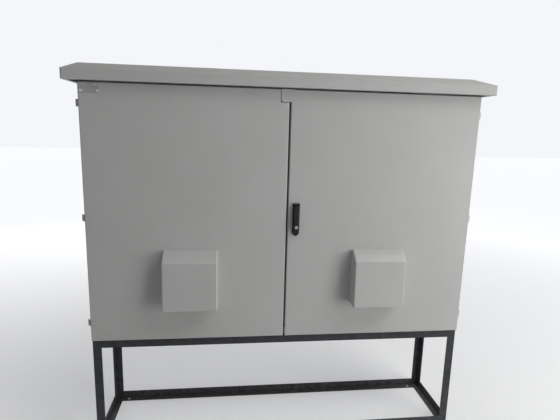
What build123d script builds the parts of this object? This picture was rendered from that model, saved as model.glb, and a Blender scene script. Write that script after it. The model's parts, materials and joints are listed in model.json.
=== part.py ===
# Two-door outdoor cabinet in sheet steel on an angle-steel stand.
# Millimetres. X is to the right as seen from the front, Y goes back, Z is up.
# The origin is on the floor, at the middle of the four anchor holes of the stand.

import math
import os

from build123d import *

# Body and doors
body_width = 1850.0
body_depth = 372.0  # from the front plane of the returns to the back panel's outer face
sheet = 2.0
door_height = 1200.0
door_depth = 25.0
door_seam = 3.0  # between a closed door and the body's front plane
door_end_gap = 3.0  # above and below the doors
centre_gap = 8.0  # between the two doors
door_corner = 5.0  # outer bend of the door sheet
door_return = 14.0  # inward return at the back of a door pan

# Folded rain lip all round the body's front
lip_inset = 42.0
lip_reach = 12.0
lip_relief = 2.5

# Overlap tab at the top of the right door, and the left door's notch around it
tab_reach = 41.0
tab_drop = 57.0
tab_radius = 10.0
notch_clearance = 2.5

# Stand of angle steel, as wide as the body
stand_height = 552.0
stand_lead = 13.0  # the stand's front face in front of the body's front plane
stand_setback = 15.0  # the stand's rear face in front of the back panel's outer face
angle_leg = 40.0
angle_thickness = 4.0
anchor_end_inset = 75.0  # from the stand's end to a hole
anchor_inset = 22.0  # from the stand's front or rear face to a hole
anchor_radius = 7.0
stand_bolt_end_inset = 325.0
stand_bolt_inset = 28.0
stand_bolt_radius = 6.0
stand_bolt_across = 19.0
stand_bolt_head = 8.0
stand_bolt_tail = 16.0
stand_nut_height = 10.0

# Canopy
canopy_side_overhang = 58.0
canopy_end_overhang = 32.0
canopy_gap = 1.2  # fascia's lower edge above the body
fascia_height = 44.0
ridge_rise = 55.0
canopy_hem = 20.0
canopy_corner = 10.0  # upright corners
canopy_edge_radius = 3.0  # fold at the fascia's lower edge
support_end_inset = 315.0
support_flange = 25.0
support_setback = 20.0

# Rain hoods and the vents behind them
hood_end_inset = 470.0  # from the body's side to a hood's middle
hood_top = 450.0  # above the door's lower edge
hood_width = 254.0
hood_height = 273.0
hood_depth = 82.0
hood_brow = 72.0  # depth at the crease between top and front
hood_brow_drop = 47.0
hood_corner = 8.0
hood_sheet = 1.6
vent_height = 300.0
vent_opening = 178.0
grille_size = 206.0
grille_flange = 3.0
grille_wall = 2.5
grille_depth = 22.0
blade_count = 8
blade_thickness = 2.0
blade_tilt = 35.0
mat_thickness = 10.0
fan_size = 172.0
fan_depth = 38.0
fan_bore = 76.0
fan_tip_clearance = 2.0
fan_hub_radius = 27.0
fan_blades = 7
fan_root_chord = 22.0
fan_tip_chord = 38.0
fan_root_pitch = 44.0  # degrees out of the fan's axis
fan_tip_pitch = 65.0
fan_blade_thickness = 2.2
fan_shaft_radius = 3.0
retainer_depth = 6.0
retainer_rim = 9.0

# Hinges
hinge_end_inset = 89.0  # from a door's end to the middle of its nearest hinge
hinge_length = 30.0
hinge_radius = 7.5
hinge_offset = 9.5  # pin centre outside the door's side
hinge_pin_radius = 4.0
hinge_leaf = 3.0
hinge_leaf_start = 5.0  # frame leaf's near edge behind the pin's axis
hinge_leaf_end = 36.0
hinge_leaf_margin = 1.0  # door leaf's edge behind the door's bend
hinge_bridge = 4.0  # near edge of the web that joins knuckle and leaf
running_clearance = 0.05
bearing_gap = 0.8
pin_head = 2.0
pin_head_step = 1.5  # a pin's head is this much smaller in radius than its knuckle

# Swing handle, its place and its parts
handle_x = 42.5
handle_height = 656.0  # spindle above the door's lower edge
handle_top = 20.0
handle_tip = 138.0
handle_width = 34.0
handle_point = 12.0
handle_base_thickness = 6.0
handle_corner = 2.0
handle_screw_drops = (32.0, 118.0)
brow_thickness = 3.2
brow_reach = 9.0
running_gap = 0.3
hub_radius = 9.5
hub_height = 5.0
tongue_width = 12.0
tongue_radius = 6.2
lever_width = 27.0
lever_end_width = 23.0
lever_length = 116.0
lever_depth = 18.0
lever_pivot = -16.5  # pivot pin in front of the door's face
lever_pivot_radius = 8.0
lever_wall = 3.5
lever_hollow = 22.0
lever_crown = 5.0
lever_pin_radius = 2.5
cylinder_drop = 93.0
cylinder_radius = 6.0
key_slot_width = 1.4
key_slot_height = 7.2
key_slot_depth = 9.0
spindle_size = 8.0
spindle_socket = 5.0

# Rod gearbox: one pinion between two racks
gear_module = 1.5
gear_teeth = 16
pressure_angle = 20.0
gear_width = 6.0
backlash = 0.3
rack_addendum = 0.8
rod_width = 12.0
rod_thickness = 4.0
rod_plane = -166.0  # middle of the rods, front to back
rod_overrun = 10.0
rod_end_clearance = 0.5
case_half_height = 36.0
case_wall = 2.6
case_plate = 2.0
case_floor = -174.0
guide_clearance = 0.3
guide_height = 16.0
guide_wall = 3.0
journal_radius = 8.0
journal_length = 6.0
bracket_sheet = 2.0
bracket_margin = 12.0  # above and below the gearbox
bracket_foot = 14.0
guide_shares = (0.36, 0.83)  # places of the guides along a rod, from the spindle

# Shoot bolts of the left door
bolt_x = -62.0
bolt_radius = 5.0
bolt_plane = -162.0
bolt_length = 150.0
ear_thickness = 3.0
ear_spacing = 80.0
ear_margin = 4.0  # of an eye behind its bolt
bolt_plate_half = 12.0
bolt_rest_gap = 2.0
bolt_tail = 26.0
knob_lift = 18.0
knob_radius = 3.0
knob_length = 22.0

# Gaskets
gasket_width = 12.0
gasket_clearance = 0.3
left_gasket_start = 52.0
gasket_edge_gap = 1.0  # beside the bend of a door's free edge
seal_depth = 12.0
seal_radius = 3.0
seal_wall = 1.5
seal_setback = 3.0  # behind the middle of the door's edge
seal_end_gap = 4.0

# Inside fittings
plate_side_gap = 75.0  # from the body's outer faces to the mounting plate
plate_end_gap = 73.0
plate_thickness = 2.5
plate_stud_inset = 40.0
plate_standoff = 28.0
stud_radius = 5.0
collar_radius = 9.0
stud_reach = 15.0
nut_across = 17.0
nut_height = 8.0
hole_clearance = 0.5
gland_opening_x = 520.0
gland_opening_y = 160.0
gland_margin = 22.0
gland_hole_radius = 16.25
gland_hole_pitch = 120.0
screw_radius = 3.0
earth_radius = 4.0
earth_length = 24.0
earth_height = 90.0
earth_setback = 80.0  # from the back panel's outer face
earth_washer_radius = 8.8
earth_washer = 3.0

half_width = body_width / 2
stand_half = half_width
stand_depth = body_depth + stand_lead - stand_setback
anchor_x = stand_half - anchor_end_inset
stand_bolt_x = stand_half - stand_bolt_end_inset
body_back = stand_depth / 2 + stand_setback
body_front = body_back - body_depth
body_bottom = stand_height
door_bottom = body_bottom + door_end_gap
door_top = door_bottom + door_height
body_top = door_top + door_end_gap
door_back = body_front - door_seam
door_face = door_back - door_depth
door_inner = door_face + sheet
door_edge = centre_gap / 2
gasket_start = door_edge + door_corner + gasket_edge_gap
free_edge_reach = door_edge + door_return + lip_relief
lip_front = body_front - lip_reach
lip_top = body_top - lip_inset
lip_bottom = body_bottom + lip_inset
lip_side = half_width - lip_inset
notch_x = -tab_reach - notch_clearance
notch_z = door_top - tab_drop - notch_clearance
tab_z = door_top - tab_drop
hood_x = half_width - hood_end_inset
vent_z = door_bottom + vent_height
spindle_z = door_bottom + handle_height
hinge_x = half_width + hinge_offset
hinge_y = door_back
pitch_radius = gear_module * gear_teeth / 2
canopy_bottom = body_top + canopy_gap
fascia_top = canopy_bottom + fascia_height
ridge_z = fascia_top + ridge_rise
canopy_x = half_width + canopy_side_overhang
canopy_y = body_back + canopy_end_overhang
support_x = half_width - support_end_inset
plate_width = body_width - 2 * plate_side_gap
plate_height = body_top - body_bottom - 2 * plate_end_gap


def block(x0, x1, y0, y1, z0, z1):
    """A box between the given limits, in either order."""
    size = Box(abs(x1 - x0), abs(y1 - y0), abs(z1 - z0))
    return Pos((x0 + x1) / 2, (y0 + y1) / 2, (z0 + z1) / 2) * size


def rod(x, y, z, radius, length, direction):
    """A cylinder that starts at a point and runs along a direction."""
    plane = Plane(origin=(x, y, z), z_dir=direction)
    return extrude(plane * Circle(radius), length)


def extruded_x(points, x0, x1):
    """A closed outline of (y, z) points, run from x0 to x1."""
    face = make_face(Plane.YZ * Polyline(*points, close=True))
    return Pos(x0, 0, 0) * extrude(face, x1 - x0, dir=(1, 0, 0))


def hexagon(x, y, z, across, length, direction):
    plane = Plane(origin=(x, y, z), z_dir=direction)
    return extrude(plane * RegularPolygon(across / 2, 6, major_radius=False), length)


def mirrored(shape):
    return mirror(shape, about=Plane.YZ)


# Stand

def leg(side, front):
    """One upright angle with its heel at an outer corner of the stand."""
    x = side * stand_half
    y = front * stand_depth / 2
    flat = block(x, x - side * angle_leg, y, y - front * angle_thickness, 0, stand_height)
    edge = block(x, x - side * angle_thickness, y, y - front * angle_leg, 0, stand_height)
    return flat + edge


def long_rail(front, top):
    """A front or rear rail: its wall stands between the legs, its shelf runs behind them."""
    y = front * stand_depth / 2
    inner = stand_half - angle_leg
    shelf = stand_half - angle_thickness
    z0 = stand_height - angle_leg if top else 0
    z_shelf = stand_height - angle_thickness if top else 0
    wall = block(-inner, inner, y, y - front * angle_thickness, z0, z0 + angle_leg)
    floor = block(-shelf, shelf, y - front * angle_thickness, y - front * angle_leg,
                  z_shelf, z_shelf + angle_thickness)
    rail = wall + floor
    spacing = stand_bolt_x if top else anchor_x
    inset = stand_bolt_inset if top else anchor_inset
    radius = stand_bolt_radius + hole_clearance if top else anchor_radius
    for x in (-spacing, spacing):
        rail -= rod(x, y - front * inset, z_shelf - 1, radius, angle_thickness + 2, (0, 0, 1))
    return rail


def side_rail(side, top):
    x = side * stand_half
    inner = stand_depth / 2 - angle_leg
    z0 = stand_height - angle_leg if top else 0
    z_shelf = stand_height - angle_thickness if top else 0
    wall = block(x, x - side * angle_thickness, -inner, inner, z0, z0 + angle_leg)
    floor = block(x, x - side * angle_leg, -inner, inner, z_shelf, z_shelf + angle_thickness)
    return wall + floor


def stand_bolts():
    """Hexagon bolts down through the body's floor and the stand's shelf, with their nuts."""
    solids = []
    for x in (-stand_bolt_x, stand_bolt_x):
        for front in (-1, 1):
            y = front * (stand_depth / 2 - stand_bolt_inset)
            top = body_bottom + sheet
            grip = sheet + angle_thickness
            bolt = hexagon(x, y, top, stand_bolt_across, stand_bolt_head, (0, 0, 1))
            bolt += rod(x, y, top, stand_bolt_radius, grip + stand_bolt_tail, (0, 0, -1))
            nut = hexagon(x, y, top - grip, stand_bolt_across, stand_nut_height, (0, 0, -1))
            nut -= rod(x, y, top, stand_bolt_radius + 0.1, grip + stand_nut_height + 1, (0, 0, -1))
            solids += [bolt, nut]
    return Compound(children=solids)


# Body shell

def side_panel():
    """Left side: web, front return and the rain lip that stands into the door."""
    web = block(-half_width, -half_width + sheet, body_front, body_back - sheet, body_bottom, body_top)
    front = block(-half_width, -lip_side, body_front, body_front + sheet, body_bottom, body_top)
    lip = block(-lip_side - sheet, -lip_side, lip_front, body_front, lip_bottom - sheet, lip_top + sheet)
    return web + front + lip


def end_panel(top):
    """Top or bottom of the shell, with its front return and rain lip."""
    level = body_top if top else body_bottom
    inward = -1 if top else 1
    lip = lip_top if top else lip_bottom
    inner = half_width - sheet
    web = block(-inner, inner, body_front + sheet, body_back - sheet, level, level + inward * sheet)
    front = block(-lip_side, lip_side, body_front, body_front + sheet, level, lip)
    edge = block(-lip_side, lip_side, lip_front, body_front, lip, lip - inward * sheet)
    return web + front + edge


def bottom_panel():
    panel = end_panel(False)
    x = gland_opening_x / 2
    y = gland_opening_y / 2
    panel -= block(-x, x, -y, y, body_bottom - 1, body_bottom + sheet + 1)
    for bolt in (-stand_bolt_x, stand_bolt_x):
        for front in (-1, 1):
            place = front * (stand_depth / 2 - stand_bolt_inset)
            panel -= rod(bolt, place, body_bottom - 1, stand_bolt_radius + hole_clearance, sheet + 2,
                         (0, 0, 1))
    for place in gland_screw_places():
        panel -= rod(place[0], place[1], body_bottom - 1, screw_radius + hole_clearance, sheet + 2,
                     (0, 0, 1))
    return panel


def gland_screw_places():
    x = gland_opening_x / 2 + gland_margin / 2
    y = gland_opening_y / 2 + gland_margin / 2
    return [(-x, -y), (0, -y), (x, -y), (-x, y), (0, y), (x, y)]


def gland_plate():
    x = gland_opening_x / 2 + gland_margin
    y = gland_opening_y / 2 + gland_margin
    plate = block(-x, x, -y, y, body_bottom - sheet, body_bottom)
    for place in gland_screw_places():
        plate -= rod(place[0], place[1], body_bottom - sheet - 1, screw_radius + hole_clearance, sheet + 2,
                     (0, 0, 1))
    for step in (-1.5, -0.5, 0.5, 1.5):
        plate -= rod(step * gland_hole_pitch, 0, body_bottom - sheet - 1, gland_hole_radius, sheet + 2,
                     (0, 0, 1))
    return plate


def back_panel():
    return block(-half_width, half_width, body_back - sheet, body_back, body_bottom, body_top)


# Canopy: a low gable roof with a folded fascia and a hem that turns in under it

def canopy_solid(inset):
    """The roof's filled form, set in from its outer faces: a gable with rounded upright corners."""
    x = canopy_x - inset
    y = canopy_y - inset
    bottom = canopy_bottom + inset
    edge = fascia_top - inset
    top = ridge_z - inset
    gable = extruded_x([(-y, bottom), (y, bottom), (y, edge), (0, top), (-y, edge)], -x, x)
    plan = RectangleRounded(2 * x, 2 * y, canopy_corner - inset)
    return gable & Pos(0, 0, bottom) * extrude(plan, top - bottom)


def canopy():
    outer = canopy_solid(0)
    outer = fillet(outer.edges().group_by(Axis.Z)[0], canopy_edge_radius)
    x = canopy_x - canopy_hem
    y = canopy_y - canopy_hem
    shell = outer - canopy_solid(sheet)
    return shell - block(-x, x, -y, y, canopy_bottom - 1, canopy_bottom + sheet + 1)


def canopy_support():
    """A folded gable plate under the left half of the canopy."""
    reach = body_back - support_setback
    rise = ridge_rise / (canopy_y - sheet)
    under = ridge_z - sheet
    shape = [(-reach, body_top), (reach, body_top), (reach, under - rise * reach), (0, under),
             (-reach, under - rise * reach)]
    plate = extruded_x(shape, -support_x, -support_x + sheet)
    foot = block(-support_x, -support_x + support_flange, -reach, reach, body_top, body_top + sheet)
    rim = extruded_x([(-reach, under - rise * reach), (0, under), (reach, under - rise * reach),
                      (reach, under - rise * reach - sheet), (0, under - sheet),
                      (-reach, under - rise * reach - sheet)], -support_x, -support_x + support_flange)
    return plate + foot + rim


# Inside fittings

def stud_places():
    x = plate_width / 2 - plate_stud_inset
    middle = (body_bottom + body_top) / 2
    z = plate_height / 2 - plate_stud_inset
    return [(sx * x, middle + sz * z) for sx in (-1, 0, 1) for sz in (-1, 1)]


def mounting_plate():
    middle = (body_bottom + body_top) / 2
    back = body_back - sheet - plate_standoff
    plate = block(-plate_width / 2, plate_width / 2, back - plate_thickness, back,
                  middle - plate_height / 2, middle + plate_height / 2)
    for x, z in stud_places():
        plate -= rod(x, back + 1, z, stud_radius + hole_clearance, plate_thickness + 2, (0, -1, 0))
    return plate


def plate_studs():
    """Collar studs welded to the back panel."""
    solids = []
    wall = body_back - sheet
    for x, z in stud_places():
        collar = rod(x, wall, z, collar_radius, plate_standoff, (0, -1, 0))
        stud = rod(x, wall, z, stud_radius, plate_standoff + plate_thickness + stud_reach, (0, -1, 0))
        solids.append(collar + stud)
    return Compound(children=solids)


def plate_nuts():
    solids = []
    front = body_back - sheet - plate_standoff - plate_thickness
    for x, z in stud_places():
        nut = hexagon(x, front, z, nut_across, nut_height, (0, -1, 0))
        nut -= rod(x, front + 1, z, stud_radius + 0.1, nut_height + 2, (0, -1, 0))
        solids.append(nut)
    return Compound(children=solids)


def earth_stud():
    """Threaded earth stud with its washer, on the left side wall."""
    wall = -half_width + sheet
    y = body_back - earth_setback
    z = body_bottom + earth_height
    stud = rod(wall, y, z, earth_radius, earth_length, (1, 0, 0))
    return stud + rod(wall, y, z, earth_washer_radius, earth_washer, (1, 0, 0))


# Doors

def door_pan(side):
    """A folded tray: face sheet, four edges and an inward return. side is -1 for the left door."""
    x0 = side * door_edge
    x1 = side * half_width
    outer = block(x0, x1, door_face, door_back, door_bottom, door_top)
    front = outer.faces().sort_by(Axis.Y)[0]
    outer = fillet(front.edges(), door_corner)
    cavity = block(x0 + side * sheet, x1 - side * sheet, door_inner, door_back - sheet,
                   door_bottom + sheet, door_top - sheet)
    cavity = fillet(cavity.faces().sort_by(Axis.Y)[0].edges(), door_corner - sheet)
    mouth = block(x0 + side * door_return, x1 - side * door_return, door_inner, door_back + 1,
                  door_bottom + door_return, door_top - door_return)
    return outer - cavity - mouth


def vent_cut(side):
    x = side * hood_x
    half = vent_opening / 2
    return block(x - half, x + half, door_face - 1, door_inner + 1, vent_z - half, vent_z + half)


def lip_notch(reach, level):
    """Room in a door's free edge for the rain lip that crosses it."""
    return block(0, reach, lip_front - lip_relief, door_back + 1, level - lip_relief,
                 level + sheet + lip_relief)


def left_door():
    """The left door, with a folded notch in its top corner for the other door's tab."""
    door = door_pan(-1) - vent_cut(-1)
    door -= block(notch_x, 0, door_face - 1, door_back + 1, notch_z, door_top + 1)
    door += block(notch_x - sheet, notch_x, door_face, door_back, notch_z - sheet, door_top)
    door += block(notch_x - sheet, -door_edge, door_face, door_back, notch_z - sheet, notch_z)
    reach = notch_x - sheet - lip_relief
    return door - lip_notch(reach, lip_top) - lip_notch(-free_edge_reach, lip_bottom - sheet)


def right_door():
    door = door_pan(1) - vent_cut(1)
    tab = block(-tab_reach, door_edge + 2 * door_corner, door_face, door_inner, tab_z, door_top)
    corner = tab.edges().filter_by(Axis.Y).group_by(Axis.X)[0].sort_by(Axis.Z)[0]
    door += fillet(corner, tab_radius)
    for drop in handle_screw_drops:
        door -= rod(handle_x, door_face - 1, spindle_z - drop, screw_radius + hole_clearance, sheet + 2,
                    (0, 1, 0))
    door -= rod(handle_x, door_face - 1, spindle_z, journal_radius + 1.0, sheet + 2, (0, 1, 0))
    return door - lip_notch(free_edge_reach, lip_top) - lip_notch(free_edge_reach, lip_bottom - sheet)


def gasket(side, start):
    """A foam strip along the top, hinge side and bottom of a door's inner face."""
    middle = lip_side + sheet / 2
    y0 = door_inner
    y1 = lip_front - gasket_clearance
    half = gasket_width / 2
    z_top = lip_top + sheet / 2
    z_low = lip_bottom - sheet / 2
    strip = block(side * start, side * (middle + half), y0, y1, z_top - half, z_top + half)
    strip += block(side * gasket_start, side * (middle + half), y0, y1, z_low - half, z_low + half)
    return strip + block(side * (middle - half), side * (middle + half), y0, y1, z_low, z_top)


def meeting_seal():
    """A hollow rubber bulb along the left door's free edge."""
    x0 = -door_edge
    x1 = door_edge - gasket_clearance
    place = Pos((x0 + x1) / 2, (door_face + door_back) / 2 + seal_setback)
    section = place * RectangleRounded(x1 - x0, seal_depth, seal_radius)
    section -= place * RectangleRounded(x1 - x0 - 2 * seal_wall, seal_depth - 2 * seal_wall,
                                        (seal_radius - seal_wall) * 0.9)
    low = lip_bottom + lip_relief
    return Pos(0, 0, low) * extrude(section, notch_z - sheet - low - seal_end_gap)


# Hinges

def hinge_levels():
    low = door_bottom + hinge_end_inset
    high = door_top - hinge_end_inset
    return [low, (low + high) / 2, high]


def frame_knuckles():
    """Left side: lower knuckles on leaves that lie on the body's side wall."""
    solids = []
    half = hinge_length / 2
    for z in hinge_levels():
        leaf = block(-half_width - hinge_leaf, -half_width, hinge_y + hinge_leaf_start,
                     hinge_y + hinge_leaf_end, z - half, z + half)
        knuckle = rod(-hinge_x, hinge_y, z - half, hinge_radius, half - bearing_gap / 2, (0, 0, 1))
        bridge = block(-hinge_x, -half_width - hinge_leaf / 3, hinge_y + hinge_bridge,
                       hinge_y + hinge_radius, z - half, z - bearing_gap / 2)
        body = knuckle + bridge + leaf
        body -= rod(-hinge_x, hinge_y, z - half - 1, hinge_pin_radius, hinge_length, (0, 0, 1))
        solids.append(body)
    return solids


def door_knuckles():
    """Left side: upper knuckles on leaves that lie on the door's edge."""
    solids = []
    half = hinge_length / 2
    for z in hinge_levels():
        leaf = block(-half_width - hinge_leaf, -half_width, door_face + door_corner + hinge_leaf_margin,
                     hinge_y - hinge_bridge, z - half, z + half)
        knuckle = rod(-hinge_x, hinge_y, z + bearing_gap / 2, hinge_radius, half - bearing_gap / 2,
                      (0, 0, 1))
        bridge = block(-hinge_x, -half_width - hinge_leaf / 3, hinge_y - hinge_bridge,
                       hinge_y - hinge_radius, z + bearing_gap / 2, z + half)
        body = knuckle + bridge + leaf
        body -= rod(-hinge_x, hinge_y, z, hinge_pin_radius + running_clearance, hinge_length, (0, 0, 1))
        solids.append(body)
    return solids


def hinge_pins():
    """Left side: pins fixed in the lower knuckles, headed below."""
    solids = []
    half = hinge_length / 2
    for z in hinge_levels():
        low = z - half - pin_head
        pin = rod(-hinge_x, hinge_y, low, hinge_pin_radius, hinge_length + pin_head, (0, 0, 1))
        pin += rod(-hinge_x, hinge_y, low, hinge_radius - pin_head_step, pin_head, (0, 0, 1))
        solids.append(pin)
    return solids


# Rain hoods and vents

def hood_form(inset):
    """A hood's filled form from the door's face out: a curved brow above a front that leans outwards."""
    half = hood_width / 2 - inset
    spare = 1.0 if inset else 0.0
    brow = hood_brow - inset
    foot = hood_depth - inset
    crown = (-0.6 * hood_brow + 0.7 * inset, -0.2 * hood_brow_drop - 0.7 * inset)
    side = [ThreePointArc((0, -inset), crown, (-brow, -hood_brow_drop)),
            Line((-brow, -hood_brow_drop), (0, -hood_brow_drop)),
            Line((0, -hood_brow_drop), (0, -inset))]
    crease = Plane.XY.offset(-hood_brow_drop) * RectangleRounded(2 * half, 2 * brow, hood_corner - inset)
    rim = Plane.XY.offset(-hood_height - spare) * RectangleRounded(2 * half, 2 * foot, hood_corner - inset)
    top = extrude(Plane.YZ * make_face(side), half, both=True) & extrude(crease, hood_brow_drop)
    front = block(-half, half, -foot - 1, 0, -hood_height - spare, -hood_brow_drop)
    return top + (front & loft([crease, rim], ruled=True))


def hood():
    """The left hood: a folded cover, open below and towards the door."""
    room = hood_form(hood_sheet)
    shell = hood_form(0) - room
    return Pos(-hood_x, door_face, door_bottom + hood_top) * shell


def grille():
    """The left vent's moulded grille: a flange on the face, a sleeve through it and sloped blades."""
    flange = block(-grille_size / 2, grille_size / 2, -grille_flange, 0, -grille_size / 2, grille_size / 2)
    sleeve_half = vent_opening / 2 - 0.5
    opening = sleeve_half - grille_wall
    sleeve = block(-sleeve_half, sleeve_half, 0, grille_depth, -sleeve_half, sleeve_half)
    body = flange + sleeve
    body -= block(-opening, opening, -grille_flange - 1, grille_depth + 1, -opening, opening)
    pitch = 2 * opening / blade_count
    for index in range(blade_count):
        z = -opening + pitch * (index + 0.5)
        blade = Box(2 * opening + 1.0, pitch * 0.72, blade_thickness)
        body += Pos(0, 3.0, z) * Rot(blade_tilt, 0, 0) * blade
    return Pos(-hood_x, door_face, vent_z) * body


def filter_mat():
    half = vent_opening / 2 - 0.5 - grille_wall - 0.3
    y = door_face + grille_depth
    return block(-hood_x - half, -hood_x + half, y - mat_thickness, y, vent_z - half, vent_z + half)


def fan_housing():
    """Square fan frame with a round duct, three struts and a motor cup."""
    y0 = door_face + grille_depth
    half = fan_size / 2
    body = block(-half, half, y0, y0 + fan_depth, -half, half)
    body -= rod(0, y0 - 1, 0, fan_bore, fan_depth + 2, (0, 1, 0))
    cup_start = y0 + fan_depth - 12.0
    cup = rod(0, cup_start, 0, fan_hub_radius, 12.0, (0, 1, 0))
    for turn in (90, 210, 330):
        strut = block(0, fan_bore + 3.0, cup_start + 4.0, cup_start + 10.0, -4.0, 4.0)
        cup += Rot(0, turn, 0) * strut
    body += cup
    body -= rod(0, cup_start - 1, 0, fan_shaft_radius + running_clearance, 10.0, (0, 1, 0))
    return Pos(-hood_x, 0, vent_z) * body


def fan_impeller():
    """Hub, shaft and twisted blades."""
    y0 = door_face + grille_depth
    front = y0 + 3.0
    back = y0 + fan_depth - 12.0 - 1.0
    hub = rod(0, front, 0, fan_hub_radius, back - front, (0, 1, 0))
    rim = hub.edges().filter_by(GeomType.CIRCLE).sort_by(Axis.Y)[0]
    rotor = fillet(rim, 3.0)
    rotor += rod(0, back, 0, fan_shaft_radius, 8.0, (0, 1, 0))
    middle = (front + back) / 2
    tip = fan_bore - fan_tip_clearance
    sections = []
    for reach, chord, pitch in ((fan_hub_radius - 2.0, fan_root_chord, fan_root_pitch),
                                (tip, fan_tip_chord, fan_tip_pitch)):
        lean = math.radians(pitch)
        plane = Plane(origin=(reach, middle, 0), x_dir=(0, math.cos(lean), math.sin(lean)), z_dir=(1, 0, 0))
        sections.append(plane * Rectangle(chord, fan_blade_thickness))
    blade = loft(sections, ruled=True)
    trim = rod(0, front - 5, 0, tip, back - front + 10, (0, 1, 0))
    blade &= trim
    for index in range(fan_blades):
        rotor += Rot(0, 360.0 * index / fan_blades, 0) * blade
    return Pos(-hood_x, 0, vent_z) * rotor


# Swing handle. Places are from the spindle's axis on the door's face, and Y is negative outwards.

def on_handle(shape):
    return Pos(handle_x, door_face, spindle_z) * shape


def handle_base():
    """Flat escutcheon with a brow above the lever and a pointed end below it."""
    half = handle_width / 2
    points = [(-half, handle_top), (half, handle_top), (half, handle_point - handle_tip),
              (half * 0.3, -handle_tip), (-half * 0.3, -handle_tip), (-half, handle_point - handle_tip)]
    outline = make_face(Plane.XZ * Polyline(*points, close=True))
    body = extrude(outline, handle_base_thickness, dir=(0, -1, 0))
    body = fillet(body.edges().filter_by(Axis.Y), handle_corner)
    body += block(-half + handle_corner, half - handle_corner, 0, -handle_base_thickness - brow_reach,
                  handle_top - brow_thickness, handle_top)
    body -= rod(0, 1, 0, journal_radius + running_clearance, handle_base_thickness + 2, (0, -1, 0))
    for drop in handle_screw_drops:
        body -= rod(0, 1, -drop, screw_radius + 0.1, handle_base_thickness - 1, (0, -1, 0))
    return on_handle(body)


def handle_hub():
    """Turning hub: journal in the escutcheon, collar above it and the tongue that carries the lever."""
    collar = -handle_base_thickness - running_gap
    body = rod(0, sheet, 0, journal_radius, sheet - collar, (0, -1, 0))
    body += rod(0, collar, 0, hub_radius, hub_height, (0, -1, 0))
    half = tongue_width / 2
    body += block(-half, half, collar, lever_pivot, -tongue_radius, tongue_radius)
    body += rod(-half, lever_pivot, 0, tongue_radius, tongue_width, (1, 0, 0))
    body -= rod(-half - 1, lever_pivot, 0, lever_pin_radius + running_clearance, tongue_width + 2, (1, 0, 0))
    socket = spindle_size / 2 + running_clearance
    body -= block(-socket, socket, sheet + 1, -spindle_socket, -socket, socket)
    return on_handle(body)


def handle_spindle():
    half = spindle_size / 2
    end = rod_plane - door_face + gear_width / 2 + journal_length
    return on_handle(block(-half, half, -spindle_socket + 0.2, end, -half, half))


def handle_lever():
    """Cast lever: a channel at the pivot, crowned in front, with a bore for the lock."""
    back = lever_pivot + lever_pivot_radius
    front = back - lever_depth
    top = lever_width / 2
    low = lever_end_width / 2
    face = [(-top, lever_pivot_radius), (top, lever_pivot_radius), (low, -lever_length),
            (-low, -lever_length)]
    plan = extrude(make_face(Plane.XZ * Polyline(*face, close=True)), lever_depth, dir=(0, -1, 0))
    plan = Pos(0, back, 0) * plan
    crest = front + lever_pivot_radius
    side = [Line((back, 0), (back, -lever_length + 3.0)),
            Line((back, -lever_length + 3.0), (back - 3.0, -lever_length)),
            Line((back - 3.0, -lever_length), (front + 6.0, -lever_length)),
            Line((front + 6.0, -lever_length), (front, -lever_length + 12.0)),
            Line((front, -lever_length + 12.0), (front, 0)),
            ThreePointArc((front, 0), (crest - lever_pivot_radius * 0.7071, lever_pivot_radius * 0.7071),
                          (crest, lever_pivot_radius)),
            Line((crest, lever_pivot_radius), (lever_pivot, lever_pivot_radius)),
            ThreePointArc((lever_pivot, lever_pivot_radius),
                          (lever_pivot + lever_pivot_radius * 0.7071, lever_pivot_radius * 0.7071),
                          (back, 0))]
    profile = extrude(Plane.YZ * make_face(side), lever_width, both=True)
    body = plan & profile
    crown = [edge for edge in body.edges() if edge.center().Y < front + 0.1
             and abs(edge.center().X) > lever_end_width / 4 and edge.length > lever_length / 2]
    body = fillet(crown, lever_crown)
    hollow = lever_width / 2 - lever_wall
    body -= block(-hollow, hollow, back + 1, front + lever_wall, -lever_hollow, lever_pivot_radius + 1)
    body -= rod(-lever_width, lever_pivot, 0, lever_pin_radius, 2 * lever_width, (1, 0, 0))
    body -= rod(0, back + 1, -cylinder_drop, cylinder_radius + running_clearance, lever_depth + 2,
                (0, -1, 0))
    return on_handle(body)


def lever_pin():
    length = lever_width - 2 * lever_wall * 0.3
    return on_handle(rod(-length / 2, lever_pivot, 0, lever_pin_radius, length, (1, 0, 0)))


def lock_cylinder():
    """Key cylinder in the lever's lower end, with its key slot."""
    back = lever_pivot + lever_pivot_radius
    body = rod(0, back, -cylinder_drop, cylinder_radius, lever_depth + 0.6, (0, -1, 0))
    front = back - lever_depth - 0.6
    face = body.faces().sort_by(Axis.Y)[0]
    body = chamfer(face.edges(), 0.6)
    body -= block(-key_slot_width / 2, key_slot_width / 2, front - 1, front + key_slot_depth,
                  -cylinder_drop - key_slot_height / 2, -cylinder_drop + key_slot_height / 2)
    return on_handle(body)


# Rod gearbox. The pinion drives both rods, one on each side, so they draw in together.

def involute(angle):
    return math.tan(angle) - angle


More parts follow.
